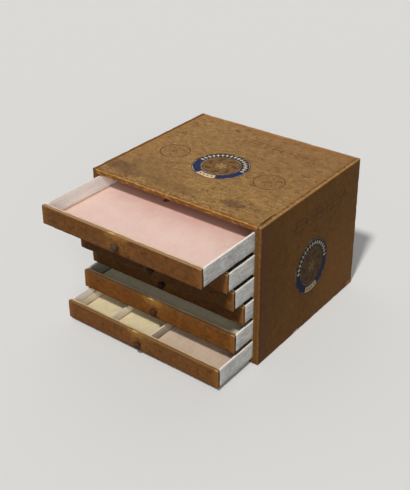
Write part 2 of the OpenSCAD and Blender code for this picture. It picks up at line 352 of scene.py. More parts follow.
def softened(source, name, arris_mm, dent_mm, step_mm, seed, box=None):
    """A copy of a node with its sharp arrises rounded and its edges dented, inwards only, cut fine enough to bend.
    Box is what the node is an outer part of; its edges are the ones that take the dents."""
    shape = bmesh.new()
    shape.from_mesh(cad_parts[source].data)
    bmesh.ops.remove_doubles(shape, verts=shape.verts, dist=2e-6)
    bmesh.ops.dissolve_limit(shape, angle_limit=radians(0.5), verts=shape.verts, edges=shape.edges)
    own_low, own_high = box_of(source)
    low, high = box or (own_low, own_high)
    centre, half = (low + high) / 2, (high - low) / 2

    def on_edge(point):
        return sum(half[i] - abs(point[i] - centre[i]) < 0.05 * mm for i in range(3)) > 1

    ridges = [edge for edge in shape.edges if edge.is_manifold and edge.calc_face_angle_signed() > radians(50)
              and all(on_edge(corner.co) for corner in edge.verts)]
    if ridges and arris_mm:
        bmesh.ops.bevel(shape, geom=ridges, offset=arris_mm * mm, offset_type="OFFSET", segments=2, profile=0.6,
                        affect="EDGES", clamp_overlap=True)
    for axis in range(3):
        count = int((own_high[axis] - own_low[axis]) / (step_mm * mm))
        for cut in range(1, count + 1):
            plane, way = Vector(), Vector()
            plane[axis] = own_low[axis] + cut * (own_high[axis] - own_low[axis]) / (count + 1)
            way[axis] = 1
            everything = [*shape.verts, *shape.edges, *shape.faces]
            bmesh.ops.bisect_plane(shape, geom=everything, dist=1e-7, plane_co=plane, plane_no=way)
    dent_reach = 4 * mm
    for corner in shape.verts:
        depth = [half[i] - abs(corner.co[i] - centre[i]) for i in range(3)]
        near = sorted(depth)[1] / dent_reach
        if near >= 1:
            continue
        where = corner.co * 75 + Vector((seed, seed, seed))
        bite = max(0, noise.noise(where) + 0.4 * noise.noise(where * 3.1) + 0.05)
        for i in range(3):
            if depth[i] < dent_reach:
                step = bite * dent_mm * mm * (1 - near)
                corner.co[i] -= step if corner.co[i] > centre[i] else -step
    mesh = bpy.data.meshes.new(name)
    shape.to_mesh(mesh)
    shape.free()
    return mesh


def dressed(name, mesh, source, body, slot, *materials, flat_from=35):
    """Makes an object of a mesh, which stands for a node and moves with its body. Its faces are shaded smooth
    where they meet at less than flat_from degrees."""
    mesh.shade_smooth()
    mesh.set_sharp_from_angle(angle=radians(flat_from))
    made = new_object(name, mesh, *materials)
    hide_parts(source)
    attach(made, body)


left_box, right_box = box_of("case_left_side"), box_of("case_right_side")
case_box = (left_box[0], right_box[1])
front_y, top_z, side_x = case_box[0].y, case_box[1].z, case_box[1].x


def line_at(tree, value, at, width):
    """1 where value is within half of width of at, with a soft edge."""
    return fall(tree, maths(tree, "ABSOLUTE", less(tree, value, at)), width / 2 - 0.1, width / 2 + 0.35)


def around_middle(tree, given):
    """A point's distance from a round print's middle, and its direction."""
    squares = maths(tree, "ADD", *(maths(tree, "POWER", given[key], 2) for key in ("Across", "Along")))
    return maths(tree, "SQRT", squares), maths(tree, "ARCTAN2", given["Along"], given["Across"])


tree, given, result = new_group("medal_print", {"Across": 0.0, "Along": 0.0}, {"Ink": FLOAT})
radius, turn = around_middle(tree, given)
petals = maths(tree, "ABSOLUTE", maths(tree, "COSINE", times(tree, turn, 4)))
petals = line_at(tree, times_plus(tree, petals, -9, radius), 4.5, 1.8)
inner_petals = maths(tree, "SINE", times(tree, turn, 8))
inner_petals = line_at(tree, times_plus(tree, inner_petals, -1.2, radius), 3.4, 2)
ticks = rise(tree, maths(tree, "COSINE", times(tree, turn, 40)), -0.1, 0.3)
ticks = times(tree, ticks, line_at(tree, radius, 20.5, 2.6))
ink = largest(tree, line_at(tree, radius, 26, 2.2), times(tree, ticks, 0.6))
ink = largest(tree, ink, times(tree, line_at(tree, radius, 16.6, 0.9), 0.7))
ink = largest(tree, ink, largest(tree, petals, inner_petals))
faded = rise(tree, cloudy(tree, place_mm(tree, 60), 5, 4, 0.7), 0.15, 0.45)
fill(tree, result, {"Ink": times(tree, ink, faded)})

tree, given, result = new_group(
    "frieze_print", {"Along": 0.0, "Across": 0.0, "Length": 80.0, "Height": 10.0}, {"Ink": FLOAT})
along, across = (maths(tree, "ABSOLUTE", given[key]) for key in ("Along", "Across"))
inside, inside_high = (fall(tree, away, given[key], maths(tree, "ADD", given[key], 0.4))
                       for away, key in ((along, "Length"), (across, "Height")))
cell = maths(tree, "ABSOLUTE", less(tree, maths(tree, "FLOORED_MODULO", given["Along"], 16), 8))
lozenge = maths(tree, "ADD", cell, times(tree, across, 0.8))
seeds = maths(tree, "ADD", less(tree, 8, cell), times(tree, across, 0.5))
ink = largest(tree, line_at(tree, lozenge, 5.5, 1.5), line_at(tree, lozenge, 1.6, 2), fall(tree, seeds, 1.2, 1.8))
ink = times(tree, ink, times(tree, inside, inside_high))
frame_lines = times(tree, line_at(tree, less(tree, across, given["Height"]), 1, 1.4), inside)
ends = times(tree, line_at(tree, less(tree, along, given["Length"]), 1, 1.4), inside_high)
ink = largest(tree, ink, largest(tree, frame_lines, ends))
faded = rise(tree, cloudy(tree, place_mm(tree, 90), 9, 4, 0.7), 0.3, 0.55)
fill(tree, result, {"Ink": times(tree, ink, faded)})

medal_places_mm = [(-102.8, -15), (95.4, -17.8)]


def printed_frieze(tree, along, up, middle_mm, half_length_mm, half_height_mm):
    return use(tree, "frieze_print", Along=less(tree, along, middle_mm[0]), Across=less(tree, up, middle_mm[1]),
               Length=half_length_mm, Height=half_height_mm)["Ink"]


def top_print(tree, base):
    """Two faint medals and a frieze, printed on the paper of the top."""
    x, y, _ = split_place(tree)
    for across, along in medal_places_mm:
        ink = use(tree, "medal_print", Across=less(tree, x, across), Along=less(tree, y, along))["Ink"]
        base = mixed(tree, times(tree, ink, 0.95), base, colour(96, 60, 34))
    ink = printed_frieze(tree, x, y, (40, 94), 72, 8)
    return mixed(tree, ink, base, colour(106, 58, 34))


def side_print(tree, base):
    """A faint frieze, printed on the paper of the right side."""
    _, y, z = split_place(tree)
    ink = printed_frieze(tree, y, z, (20, 203), 80, 9)
    return mixed(tree, times(tree, ink, 0.66), base, colour(54, 31, 17))


top_tones = (colour(170, 136, 83), colour(141, 107, 63), colour(102, 74, 43), colour(150, 98, 50))
side_tones = (colour(117, 81, 33), colour(97, 64, 24), colour(73, 46, 17), colour(104, 63, 24))
ochre_board = colour(152, 110, 60)
orange_board = colour(128, 88, 44)
split_colour = (40, 26, 16)

# The columns are those of patched. First the front edge: a dark line at the torn paper's edge, which is painted
# shadow, browned paper, its dark line, the gold arris, worn board with a painted highlight, and the worn face below;
# then the other edges, whose pale left and back lines are worn board with a painted highlight, stains and splits.
top_patches = [
    # A dark line at the torn paper's edge: painted shadow.
    ((0, front_y, top_z), (420, 7, 16), (92, 62, 36), 0.6, 0.15, 1.8, 13, 0),
    ((0, front_y, top_z), (420, 5, 16), (134, 89, 43), 0.85, 0.12, 1.8, 12, 0),
    ((0, front_y + 0.0026, top_z), (420, 0.7, 2), (78, 48, 26), 0.75, 0.5, 1.6, 9, 0),
    # The gold arris: worn board with a painted highlight.
    ((0, front_y - 0.0005, top_z + 0.0005), (420, 2.4, 2.2), (200, 150, 80), 0.62, 0.4, 1.4, 14, 0.3),
    ((0, front_y, top_z - 0.006), (420, 3, 4), (96, 62, 33), 0.85, 0.35, 1.4, 11, 0),
    ((0, front_y, top_z - 0.006), (420, 3, 2.6), (162, 110, 56), 0.8, 0.3, 1.8, 19, 0.85),
    ((-0.02, front_y + 0.004, top_z), (110, 6, 3), (186, 150, 104), 0.5, 0.2, 1.4, 12, 1),
    ((-0.168, 0.03, top_z), (14, 120, 4), (156, 94, 42), 0.4, 0.8, 2, 18, 0),
    ((0.02, 0.143, top_z), (170, 11, 4), (156, 98, 46), 0.4, 0.8, 2, 18, 0),
    ((0.163, 0.06, top_z), (8, 110, 4), (146, 92, 46), 0.25, 0.8, 2, 16, 0),
    # Pale lines along the left and back edges: worn board with a painted highlight.
    ((-0.17, 0, top_z), (1.5, 400, 1.5), (200, 158, 118), 0.75, 0.4, 0.8, 11, 0),
    ((0, 0.151, top_z), (420, 4.4, 2.4), (204, 162, 112), 0.7, 0.4, 1.2, 11, 0.5),
    ((0.17, front_y, top_z), (13, 12, 7), (196, 150, 90), 0.5, 0.5, 1.2, 5, 0.7),
    ((-0.1, -0.095, top_z), (62, 42, 6), (112, 80, 50), 0.4, 0.7, 0.8, 30, 0),
    ((0.1, 0.1, top_z), (150, 110, 6), (112, 78, 48), 0.3, 0.9, 0.6, 40, 0),
    ((-0.143, -0.112, top_z), (28, 14, 5), (80, 54, 40), 0.55, 0.6, 1.5, 12, 0),
    ((-0.112, -0.128, top_z), (22, 7, 5), (84, 58, 42), 0.45, 0.6, 1.5, 9, 0),
    ((0.094, -0.113, top_z), (18, 10, 5), (70, 48, 38), 0.65, 0.5, 1.3, 12, 0),
    ((-0.03, -0.122, top_z), (60, 14, 5), (100, 72, 44), 0.4, 0.6, 1.2, 18, 0),
    ((0.1622, -0.124, top_z), (1.2, 22, 2), split_colour, 1, 0.4, 0.5, 5, 0),
    ((0.1635, 0.004, top_z), (1, 16, 2), split_colour, 0.9, 0.4, 0.5, 5, 0),
    ((0.168, -0.08, top_z), (1.4, 56, 2), (84, 54, 28), 0.6, 0.5, 1.2, 9, 0),
    ((0.17, 0, top_z), (4, 400, 2), (190, 146, 92), 0.55, 0.4, 1.4, 9, 0.7),
]
side_patches = [
    ((side_x, 0.1, 0.05), (20, 70, 70), (130, 86, 42), 0.35, 0.7, 0.6, 40, 0),
    ((side_x, -0.12, 0.17), (20, 40, 110), (76, 50, 22), 0.35, 0.7, 0.6, 40, 0),
    ((side_x, front_y + 0.013, 0.12), (9, 10, 400), (86, 50, 38), 0.4, 0.6, 0.8, 20, 0),
    # A dark band just behind the front arris: painted shadow of the arris.
    ((side_x, front_y + 0.003, 0.12), (4, 2.2, 400), (58, 36, 16), 0.6, 0.4, 0.7, 9, 0),
    ((side_x, -0.039, 0), (6, 8, 4), (205, 178, 142), 0.9, 0.2, 0.8, 4, 0),
    ((side_x, 0.143, 0), (8, 12, 9), (160, 112, 66), 0.8, 0.3, 0.8, 6, 0),
    ((side_x - 0.003, front_y, 0.226), (12, 4, 40), (150, 108, 62), 0.5, 0.4, 1.4, 8, 0.8),
    ((side_x, front_y, 0.13), (2.4, 2.4, 400), (168, 120, 72), 0.6, 0.4, 1.3, 7, 0.7),
    ((side_x, 0, top_z), (4.4, 400, 1.8), (186, 142, 88), 0.75, 0.5, 1.4, 8, 0.4),
]
front_patches = [((0, front_y, 0.125), (400, 1.2, 400), (98, 66, 34), 0.6, 0.5, 1.4, 9, 0)]

inside_wood = bare_wood("case_inside_wood", 0.8, (190, 140, 98), (140, 96, 62), (1, 0.06, 1), 0.15)
paper_turn = 6 * mm

for part, axis, inward, box, tones, board, wear_mm, shift, fineness, patches, ink in (
        ("top", 2, -1, case_box, top_tones, ochre_board, 0.7, 0, 0.82, top_patches, top_print),
        ("right_side", 0, -1, right_box, side_tones, orange_board, 0.5, 300, 0.45, side_patches + front_patches,
         side_print),
        ("left_side", 0, 1, left_box, side_tones, orange_board, 0.6, 600, 0.45, front_patches, None),
        ("bottom", 2, 1, case_box, side_tones, orange_board, 0.8, 800, 1, (), None)):
    node = f"case_{part}"
    paper = covering_paper(f"{part}_paper", box, tones, board, wear_mm, shift, 0.4, fineness, patches, ink)
    mesh = softened(node, f"{node}_board", 0, 0.9, 8, 11, case_box)
    for face in mesh.polygons:
        bare = face.normal[axis] * inward > 0.9 and face.center.y > front_y + paper_turn
        face.material_index = 1 if bare else 0
    dressed(f"{node}_board", mesh, node, "case", "wood_print_paper", paper, inside_wood)

back_low, back_high = box_of("case_back")
nail_inset = 8 * mm
rows_z = (back_low.z + nail_inset, back_high.z - nail_inset)
nail_places = [(x, z) for x in (-0.15, -0.075, 0, 0.075, 0.15) for z in rows_z]
nail_places += [(x, z) for x in (back_low.x + nail_inset, back_high.x - nail_inset) for z in (0.07, 0.125, 0.18)]
nail_heads = [((x, back_high.y, z), (2.8, 4, 2.8), (52, 46, 42), 0.9, 0.2, 0.1, 3, 0) for x, z in nail_places]


def finish_node(node, material):
    """Gives a node that keeps its own shape its finish."""
    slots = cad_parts[node].data.materials
    slots.clear()
    slots.append(material)


finish_node("case_back", bare_wood(
    "back_board_wood", 0.8, (150, 118, 80), (112, 82, 54), (0.05, 1, 1), 0.2, 50, nail_heads))

# ---- Runner strips ----
# Planed strips of pale wood that the drawers slide on. Those of the upper five are glued to the side boards, and
# the lowest drawer's lie on the bottom board. Only their ends show at the front.
# The wood is lighter than its own tone, as painted light on runner ends that lie in shadow.
runner_wood_with_painted_light = bare_wood("runner_wood_with_painted_light", 0.75, (228, 200, 158), (184, 150, 108), (1, 0.06, 1), 0.15, 90)
finish_node("left_runners", runner_wood_with_painted_light)
finish_node("right_runners", runner_wood_with_painted_light)

# ---- Drawer facings ----
# Thin boards glued to the drawer fronts, in the same printed paper as the case but browner and more handled.
# Fingers have rubbed it to gold above each knob, and its top edge is worn to pale board; on the fifth drawer that
# edge is drawn dark as painted shade.
facing_tones = (colour(126, 86, 45), colour(100, 65, 34), colour(68, 41, 21), colour(134, 72, 32))
facing_board = colour(136, 92, 50)
gold_rub, pale_flake, worn_end = (158, 116, 56), (196, 158, 106), (136, 90, 46)
# The facings of drawers 2 to 4 are darkened, 3 and 4 most, as painted shade under the drawers above.
facing_painted_shade = {2: 0.95, 3: 0.81, 4: 0.83}
# The top edges are worn board; drawer 5's dark one is painted shade.
facing_top_wear_and_shade = {1: (156, 122, 88), 5: (84, 62, 38), 6: (122, 94, 58)}
facing_tint = {5: (1.06, 0.96, 0.74)}
facing_warmth = {5: 0.55}
facings_with_dark_joint_and_shade = (1, 3, 5, 6)


def dressed_board(node, kind, body, slot, paper, arris_mm, dent_mm, step_mm, seed):
    name = f"{node}_{kind}"
    dressed(name, softened(node, name, arris_mm, dent_mm, step_mm, seed), node, body, slot, paper)


for k in range(1, 7):
    node = f"drawer_{k}_facing"
    low, high = box_of(node)
    along, up = (low.x + high.x) / 2, (low.z + high.z) / 2
    top_wear_and_shade = facing_top_wear_and_shade.get(k, (140, 108, 76))
    patches = [
        ((along, (low.y + high.y) / 2, high.z), (400, 8, 1), top_wear_and_shade, 0.9, 0.5, 0.8, 7, 0),
        # A dark line along the bottom arris: wear and painted shade.
        ((along, low.y, low.z), (400, 4, 1.8), (54, 34, 18), 0.75, 0.6, 1, 9, 0),
        ((along - 4 * mm, low.y, high.z - 3 * mm), (20, 6, 6), gold_rub, 0.5, 0.6, 1.4, 7, 0),
        ((along, low.y, high.z - 14 * mm), (26, 6, 12), gold_rub, 0.4, 0.6, 1.6, 5, 0.8),
        ((along - 9 * mm, low.y, high.z), (6, 3, 1.4), pale_flake, 0.8, 0.3, 1.2, 3.5, 0),
        ((high.x - 2 * mm, low.y, high.z), (4, 3, 2), pale_flake, 0.6, 0.4, 1.2, 3, 0),
        ((high.x, low.y, up), (9, 9, 24), worn_end, 0.5, 0.5, 1, 6, 0),
        ((low.x, low.y, up), (9, 9, 24), worn_end, 0.5, 0.5, 1, 6, 0),
    ]
    # Dark strips at the facing ends of drawers 1, 3, 5 and 6: the joint, and painted shade where those ends lie in
    # shadow.
    if k in facings_with_dark_joint_and_shade:
        patches += [((end_x, high.y, low.z + 15 * mm), (2, 4.2, 300), (52, 38, 22), 0.85, 0.3, 0.6, 6, 0)
                    for end_x in (low.x - 1.2 * mm, high.x + 1.2 * mm)]
    painted_shade = facing_painted_shade.get(k, 1) ** 2.2
    tint = facing_tint.get(k, (1, 1, 1))
    tones = [tuple(painted_shade * a * b for a, b in zip(tone, tint)) + (1,) for tone in facing_tones]
    paper = covering_paper(f"{node}_paper", (low, high), tones, facing_board, 0.4, 97 * k,
                           facing_warmth.get(k, 0.42), 0.4, patches)
    dressed_board(node, "board", f"drawer_{k}", "wood_print_paper", paper, 0.9, 0.6, 7, 3.7 * k)

# ---- Drawer boxes ----
# Thin walls lapped and glued at the corners, covered in white paper that years of handling have greyed.
# The front wall's upper edge is covered in a cream paper, and the bottom is plain pasteboard.
tree, given, result = new_group(
    "handled_paper",
    {"Clean": colour(222, 220, 213), "Soiled": colour(170, 162, 148), "Soiling": 0.6, "Shift": 0.0,
     "Grain": (1.0, 0.1, 1.0), "Streaks": 0.3},
    {"Color": COLOUR, "Height": FLOAT})
point = place_mm(tree, given["Shift"])
spots = cloudy(tree, point, 5, 4, 0.65)
fibres = cloudy(tree, point, 0.8, 3, 0.6)
drawn = vectors(tree, "MULTIPLY", point, given["Grain"])[0]
streaks = cloudy(tree, drawn, 1.5, 3, 0.7)
grime = times_plus(tree, spots, 0.5, times(tree, cloudy(tree, point, 28, 4, 0.6), 0.7))
grime = times_plus(tree, cloudy(tree, drawn, 2.6, 3), 0.5, grime)
grime = times(tree, rise(tree, grime, 0.68, 1.1), given["Soiling"])
base = mixed(tree, grime, given["Clean"], given["Soiled"])
flecks = maths(tree, "ADD", rise(tree, cloudy(tree, point, 2.2, 3, 0.7), 0.5, 0.66), rise(tree, fibres, 0.4, 0.7))
base = mixed(tree, times(tree, flecks, 0.16), base, given["Soiled"])
base = mixed(tree, times(tree, rise(tree, streaks, 0.42, 0.66), given["Streaks"]), base, given["Soiled"])
height = times_plus(tree, spots, 0.8, times(tree, fibres, 0.3))
height = times_plus(tree, streaks, times(tree, given["Streaks"], 1.5), height)
fill(tree, result, {"Color": base, "Height": height})

lengthwise, crosswise = (1, 0.1, 1), (0.1, 1, 1)


def wall_paper(name, box, clean, soiled, soiling, wear_mm, shift, patches=(), streaks=0.3, grain=lengthwise):
    """Plain paper on a wall that fills box, worn brown within about wear_mm of the edges."""
    made, tree, shader = new_material(name, 0.75, 0.1)
    near = edge_distance(tree, box)
    paper = use(tree, "handled_paper", Clean=colour(*clean), Soiled=colour(*soiled), Soiling=soiling, Shift=shift,
                Streaks=streaks, Grain=grain)
    tattered = cloudy(tree, place_mm(tree, shift), 9, 5, 0.75)
    reach = times_plus(tree, tattered, -9 * wear_mm, 4.4 * wear_mm)
    gone = fall(tree, less(tree, near, reach), -0.2, 0.4)
    base = patched(tree, mixed(tree, times(tree, gone, 0.8), paper["Color"], colour(150, 120, 86)), patches)
    coat(tree, shader, base, times_plus(tree, gone, -0.8, paper["Height"]), 0.3)
    return made


pasteboard, tree, shader = new_material("pasteboard", 0.85, 0.2)
card = use(tree, "handled_paper", Clean=colour(158, 134, 104), Soiled=colour(112, 90, 66), Soiling=0.8, Shift=210)
coat(tree, shader, card["Color"], card["Height"], 0.3)

white_clean, white_soiled, inside_clean = (232, 231, 226), (146, 144, 137), (250, 246, 240)
# A band along each wall's top edge, brighter on the right walls: cream paper with a painted highlight.
rim_cream_and_highlight = {"left": (216, 198, 184), "right": (244, 231, 216)}
# Inner faces: near white in drawers 1 and 6; grey-green in drawers 2 to 5 as painted shade on the white paper.
inner_face_tones_and_shade = {1: (226, 212, 200), 5: (112, 108, 92), 6: (220, 206, 184)}
# The front wall's cream edge is darkened on drawer 5 as painted shade.
front_creams_and_shade = {5: (110, 98, 78), 6: (206, 182, 146)}
for k in range(1, 7):
    body = f"drawer_{k}"
    for side, way in (("left", -1), ("right", 1)):
        node = f"{body}_{side}_side"
        low, high = box_of(node)
        inner = high.x if side == "left" else low.x
        open_left = side == "left" and k in (1, 6)
        patches = []
        if not open_left:
            patches.append(((inner, 0, high.z), (1.2, 900, 900), inner_face_tones_and_shade.get(k, (146, 140, 120)), 0.85,
                            0.1, 0.05, 5, 0))
        patches.append(((inner, (low.y + high.y) / 2, high.z), (4, 900, 0.9), rim_cream_and_highlight[side], 0.75,
                        0.5, 0.8, 7, 0))
        soiling, streaks = (0.15, 0.12) if side == "left" else (0.68, 0.48) if k == 1 else (0.65, 0.45)
        paper = wall_paper(f"{node}_paper", (low, high), inside_clean if open_left else white_clean, white_soiled,
                           soiling, 0.3, 41 * k + 7 * way, patches, streaks)
        dressed_board(node, "wall", body, "white_paper", paper, 0.5, 0.35, 9, 5.1 * k + way)
    for part, slot, clean, soiled, soiling, wear_mm, shift, seed in (
            ("back", "white_paper", white_clean, white_soiled, 0.6, 0.35, 20, 6.3),
            ("front", "edge_paper", front_creams_and_shade.get(k, (236, 208, 182)), (180, 144, 110), 0.5, 0.25, 30, 7.9)):
        node = f"{body}_{part}"
        paper = wall_paper(f"{node}_paper", box_of(node), clean, soiled, soiling, wear_mm, 41 * k + shift,
                           grain=crosswise)
        dressed_board(node, "wall", body, slot, paper, 0.5, 0.35, 9, seed * k)
    finish_node(f"{body}_bottom", pasteboard)


# ---- Drawer linings ----
# Coloured paper cut by hand and laid in each drawer: pink in the top one, pale sage in the next four, drawn darker
# as painted shade in drawers 2 to 4, cream and pinkish beige in the cells of the lowest. It has cockled, and its
# edges stand up a little.
def sheet_faces(columns, rows, start=0):
    """The faces of a closed thin sheet: a grid of points, and above it the same one again, joined at the rim."""
    row, layer = columns + 1, (columns + 1) * (rows + 1)
    faces = []
    for j in range(rows):
        for i in range(columns):
            a = start + j * row + i
            b = a + layer
            faces += [(a, a + row, a + row + 1, a + 1), (b, b + 1, b + row + 1, b + row)]
    outline = [start + i for i in range(columns)] + [start + columns + j * row for j in range(rows)]
    outline += [start + rows * row + columns - i for i in range(columns)]
    outline += [start + (rows - j) * row for j in range(rows)]
    return faces + [(a, b, b + layer, a + layer) for a, b in zip(outline, outline[1:] + outline[:1])]


def lining_sheet(low, high, seed, inset_mm, start):
    """The points and faces of a thin sheet, cockled, with a slightly uneven outline."""
    lift_mm, thickness_mm, cell_mm = 0.5, 0.35, 6
    columns, rows = (max(8, int((high[i] - low[i]) / (cell_mm * mm))) for i in (0, 1))
    verts = []
    for layer in (0, 1):
        for j in range(rows + 1):
            for i in range(columns + 1):
                s, t = i / columns, j / rows
                edge_x = inset_mm * mm * (1 + 0.7 * noise.noise((seed, t * 5, s * 1.5)))
                edge_y = inset_mm * mm * (1 + 0.7 * noise.noise((s * 6, seed, t * 1.5)))
                x = low.x + edge_x + s * (high.x - low.x - 2 * edge_x)
                y = low.y + edge_y + t * (high.y - low.y - 2 * edge_y)
                swell = noise.noise((x * 9, y * 9, seed)) + 0.45 * noise.noise((x * 26, y * 26, seed + 5))
                rim = max(abs(2 * s - 1), abs(2 * t - 1)) ** 12
                lift = lift_mm * mm * max(0, 0.5 + swell * (0.6 + 0.6 * rim))
                verts.append((x, y, low.z + lift + layer * thickness_mm * mm))
    return verts, sheet_faces(columns, rows, start)


def lining_paper(name, clean, soiled, shift, soiling=0.5, patches=()):
    made, tree, shader = new_material(name, 0.7, 0.1)
    paper = use(tree, "handled_paper", Clean=colour(*clean), Soiled=colour(*soiled), Soiling=soiling, Shift=shift,
                Streaks=0.05)
    coat(tree, shader, patched(tree, paper["Color"], patches), paper["Height"], 0.2)
    return made


low, high = box_of("drawer_1_liner")
pink = lining_paper("pink_lining", (228, 199, 187), (204, 166, 146), 20, 0.35, [
    ((-0.0455, -0.1075, high.z), (5.5, 8, 4), (60, 30, 24), 0.9, 0.25, 0.3, 4, 0),
    ((low.x, -0.2, high.z), (5, 80, 6), (204, 168, 130), 0.5, 0.6, 0.8, 9, 0),
    ((0, low.y, high.z), (150, 5, 6), (206, 170, 136), 0.4, 0.6, 0.8, 9, 0),
    # Deeper pink towards the rear: paper kept from the light, with a painted shade tint where the top's shadow
    # falls.
    ((0, 0.03, high.z), (220, 150, 6), (192, 106, 94), 0.62, 0.5, 0.2, 30, 0),
])
sage = lining_paper("sage_lining", (240, 230, 200), (210, 198, 164), 30)
# Drawers 2 to 4 take a darker copy of the sage paper: painted shade.
sage_painted_shade = lining_paper("dusky_sage_lining", (156, 157, 134), (124, 123, 100), 35)
cream = lining_paper("cream_lining", (222, 209, 172), (196, 172, 126), 40)
beige = lining_paper("beige_lining", (206, 184, 162), (180, 150, 122), 50)
sheet_insets_mm = {1: [0.3], 6: [1, 1, 2]}

for k in range(1, 7):
    node = f"drawer_{k}_liner"
    low, high = box_of(node)
    edges = [low.x, high.x]
    if k == 6:
        left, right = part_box("drawer_6_middle_partition"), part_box("drawer_6_right_partition")
        edges = [low.x, left[0][0], left[1][0], right[0][0], right[1][0], high.x]
    verts, faces, marks = [], [], []
    for cell, inset_mm in enumerate(sheet_insets_mm.get(k, [1])):
        cell_low = Vector((edges[2 * cell], low.y, low.z))
        cell_high = Vector((edges[2 * cell + 1], high.y, high.z))
        more_verts, more_faces = lining_sheet(cell_low, cell_high, 3.3 * k + cell, inset_mm, len(verts))
        verts += more_verts
        faces += more_faces
        marks += [1 if cell == 2 else 0] * len(more_faces)
    mesh = bpy.data.meshes.new(f"{node}_sheet")
    mesh.from_pydata(verts, [], faces)
    mesh.polygons.foreach_set("material_index", marks)
    slot = {1: "pink_liner", 6: "cream_liner"}.get(k, "sage_liner")
    papers = {1: [pink], 5: [sage], 6: [cream, beige]}.get(k, [sage_painted_shade])
    dressed(f"{node}_sheet", mesh, node, f"drawer_{k}", slot, *papers, flat_from=60)

# ---- Partitions ----
# Low strips of grey card across the bottom drawer: one lines its left wall and two part it into three cells.
# They stand on its bottom and are glued by their ends to its front and back walls.
# The right card is darker as painted shade, and its rim lighter as a painted highlight.
for part, clean, soiled, rim_colour_and_highlight in (("left", (248, 238, 224), (206, 188, 150), (168, 142, 80)),
                                        ("middle", (250, 242, 224), (214, 202, 176), (206, 196, 172)),
                                        ("right", (200, 186, 168), (150, 130, 110), (226, 216, 200))):
    node = f"drawer_6_{part}_partition"
    low, high = box_of(node)
    rim = [(((low.x + high.x) / 2, (low.y + high.y) / 2, high.z), (200, 400, 1), rim_colour_and_highlight, 0.9, 0.5, 0.6, 7, 0)]
    card = wall_paper(f"{node}_card", (low, high), clean, soiled, 0.6, 0.2, low.x * 900, rim)
    dressed_board(node, "card", "drawer_6", "grey_card", card, 0.3, 0.4, 9, low.x * 70)

# ---- Knobs ----
# Small turned wooden knobs, stained dark: a flange, a coved neck and a domed head with a turned ring.
# Each one's spigot is glued into a hole through the facing and the front wall.
# The knobs of drawers 2 to 4 are stained to match the shade they sit in: painted shade.
knob_stains_and_shade = [(88, 66, 46), (40, 24, 14), (66, 45, 30), (46, 28, 17), (78, 45, 31), (78, 52, 36)]
knob_rubs = [0.4, 0.4, 0.4, 0.15, 0.4, 0.4]
knob_profile_mm = [
    (2.5, -8.4), (2.5, 0), (4.4, 0), (4.75, 0.35), (4.75, 1), (4.4, 1.4), (3.5, 1.7), (3.05, 2.4), (3, 3.4),
    (3.3, 4.4), (4.3, 5.3), (5.5, 5.8), (6.1, 6.5), (6.25, 7.4), (6.1, 8.2), (5.6, 8.9), (5, 9.3), (4.7, 9.35),
    (4.5, 9.25), (4.3, 9.4), (3.4, 9.95), (2.2, 10.3), (1, 10.48), (0.45, 10.4), (0.3, 10.2),
]
knob_steps = 40


def round_steps(count):
    """The cosine and sine of each step once around."""
    return [(cos(tau * i / count), sin(tau * i / count)) for i in range(count)]


def faced_out(shape, mesh):
    """Writes a shape to a mesh, its faces turned outwards."""
    bmesh.ops.recalc_face_normals(shape, faces=shape.faces)
    shape.to_mesh(mesh)
    shape.free()


for k, stain_and_shade_colour, rubs_share in zip(range(1, 7), knob_stains_and_shade, knob_rubs):
    node = f"drawer_{k}_knob"
    low, high = box_of(node)
    axis_x, axis_z = (low.x + high.x) / 2, (low.z + high.z) / 2
    face_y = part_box(f"drawer_{k}_facing")[0][1]
    shape = bmesh.new()
    turned = []
    for radius_mm, out_mm in knob_profile_mm:
        ring = []
        for c, s in round_steps(knob_steps):
            wobble = 1 + 0.012 * noise.noise((c * 2, s * 2, k * 3.1 + out_mm))
            radius = radius_mm * wobble * mm
            ring.append(shape.verts.new((axis_x + radius * c, face_y - out_mm * mm, axis_z + radius * s)))
        turned.append(ring)
    for one, two in zip(turned, turned[1:]):
        for i in range(knob_steps):
            j = (i + 1) % knob_steps
            shape.faces.new((one[i], one[j], two[j], two[i]))
    shape.faces.new(turned[0])
    shape.faces.new(turned[-1])
    mesh = bpy.data.meshes.new(f"{node}_turning")
    faced_out(shape, mesh)
    stain_and_shade, tree, shader = new_material(f"{node}_stain", 0.45, 0.06)
    worn = cloudy(tree, place_mm(tree, 31 * k), 2.4, 4, 0.65)
    lines = cloudy(tree, place_mm(tree, 31 * k, (0.4, 3, 0.4)), 0.8, 2)
    stained_and_shaded = colour(*stain_and_shade_colour)
    base = mixed(tree, rise(tree, times_plus(tree, lines, 0.4, worn), 0.5, 0.95), dimmed(0.45, stained_and_shaded), stained_and_shaded)
    base = mixed(tree, times(tree, rise(tree, worn, 0.56, 0.72), rubs_share), base, colour(132, 98, 66))
    coat(tree, shader, base, lines, 0.1, 0.4, Roughness=times_plus(tree, worn, 0.3, 0.3))
    dressed(f"{node}_turning", mesh, node, f"drawer_{k}", "dark_turned_wood", stain_and_shade, flat_from=50)


